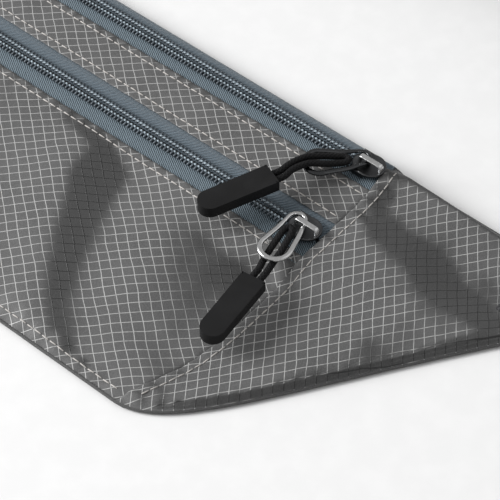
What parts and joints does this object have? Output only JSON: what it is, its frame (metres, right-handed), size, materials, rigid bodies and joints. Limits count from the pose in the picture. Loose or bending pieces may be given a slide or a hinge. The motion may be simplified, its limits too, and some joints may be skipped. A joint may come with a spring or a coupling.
{
  "type": "money belt",
  "caption": "Flat waist pouch of ripstop fabric with two zipped pockets, tapering wings, cord-and-ring zip pullers and a webbing strap closed by a side-release buckle.",
  "frame": {"origin": "middle of the pouch's flat back face, half way along it and half way between its bottom hem and its top edge", "axes": "+X along the belt towards the wing whose zip sliders are closed, +Y from the bottom hem to the top edge, +Z out of the front face"},
  "size_m": [0.4878, 0.2361, 0.0322],
  "materials": {
    "ripstop": "matt ripstop with a fine raised grid",
    "lining": "plain woven lining",
    "zip_tape": "ribbed woven tape",
    "zip_coil": "nylon coil",
    "gunmetal": "dark plated zinc",
    "bright_nickel": "bright nickel plate",
    "black_cord": "braided cord",
    "grip_rubber": "matt soft-touch moulding",
    "webbing": "woven webbing",
    "elastic": "knitted elastic",
    "buckle_plastic": "fine-grained acetal"
  },
  "bodies": {
    "pouch": {"back_panel": "ripstop", "front_panel": "ripstop", "mid_strip": "ripstop", "pocket_divider": "lining", "wing_right": "ripstop", "wing_left": "ripstop", "main_zip_tape_upper": "zip_tape", "main_zip_tape_lower": "zip_tape", "main_zip_coil_upper": "zip_coil", "main_zip_coil_lower": "zip_coil", "front_zip_tape_upper": "zip_tape", "front_zip_tape_lower": "zip_tape", "front_zip_coil_upper": "zip_coil", "front_zip_coil_lower": "zip_coil", "strap_right": "webbing", "strap_left": "webbing", "buckle_socket": "buckle_plastic"},
    "main_slider": {"main_slider": "gunmetal", "main_bail": "bright_nickel"},
    "main_puller": {"main_ring": "gunmetal", "main_cord": "black_cord"},
    "main_grip": {"main_grip": "grip_rubber"},
    "front_slider": {"front_slider": "gunmetal", "front_bail": "bright_nickel"},
    "front_puller": {"front_ring": "bright_nickel", "front_cord": "black_cord"},
    "front_grip": {"front_grip": "grip_rubber"},
    "plug": {"buckle_plug": "buckle_plastic", "strap_tail": "webbing", "strap_lead": "webbing"},
    "prong_upper": {"buckle_prong_upper": "buckle_plastic"},
    "prong_lower": {"buckle_prong_lower": "buckle_plastic"},
    "keeper": {"strap_keeper": "elastic"}
  },
  "joints": [
    {"name": "main_zip_slide", "type": "slide", "parent": "pouch", "child": "main_slider", "axis": [1, 0, 0], "range_m": [-0.2, 0]},
    {"name": "main_ring_swing", "type": "hinge", "parent": "main_slider", "child": "main_puller", "pos_m": [0.0996, 0.0568, 0.0101], "axis": [0, 0, 1], "range_deg": [-130, 70]},
    {"name": "main_grip_lift", "type": "hinge", "parent": "main_puller", "child": "main_grip", "pos_m": [0.08847, 0.04202, 0.0114], "axis": [-0.7986, 0.6018, 0], "range_deg": [0, 110], "deforming": ["main_cord"]},
    {"name": "front_zip_slide", "type": "slide", "parent": "pouch", "child": "front_slider", "axis": [1, 0, 0], "range_m": [-0.2, 0]},
    {"name": "front_ring_swing", "type": "hinge", "parent": "front_slider", "child": "front_puller", "pos_m": [0.1006, 0.0218, 0.0101], "axis": [0, 0, 1], "range_deg": [-35, 27]},
    {"name": "front_grip_lift", "type": "hinge", "parent": "front_puller", "child": "front_grip", "pos_m": [0.10413, 0.00364, 0.0114], "axis": [-0.9816, -0.1908, 0], "range_deg": [0, 110], "deforming": ["front_cord"]},
    {"name": "buckle_release", "type": "slide", "parent": "pouch", "child": "plug", "axis": [1, 0, 0], "range_m": [-0.026, 0], "deforming": ["strap_lead", "buckle_prong_upper", "buckle_prong_lower"]},
    {"name": "prong_upper_flex", "type": "hinge", "parent": "plug", "child": "prong_upper", "pos_m": [-0.001, 0.16663, 0.0265], "axis": [0, -1, 0], "range_deg": [-16, 0], "stiffness_Nm_per_rad": 0.002, "springref_deg": 5.73},
    {"name": "prong_lower_flex", "type": "hinge", "parent": "plug", "child": "prong_lower", "pos_m": [-0.001, 0.16663, 0.0059], "axis": [0, 1, 0], "range_deg": [-16, 0], "stiffness_Nm_per_rad": 0.002, "springref_deg": 5.73},
    {"name": "keeper_slide", "type": "slide", "parent": "pouch", "child": "keeper", "axis": [1, 0, 0], "range_m": [-0.02, 0.012]}
  ]
}
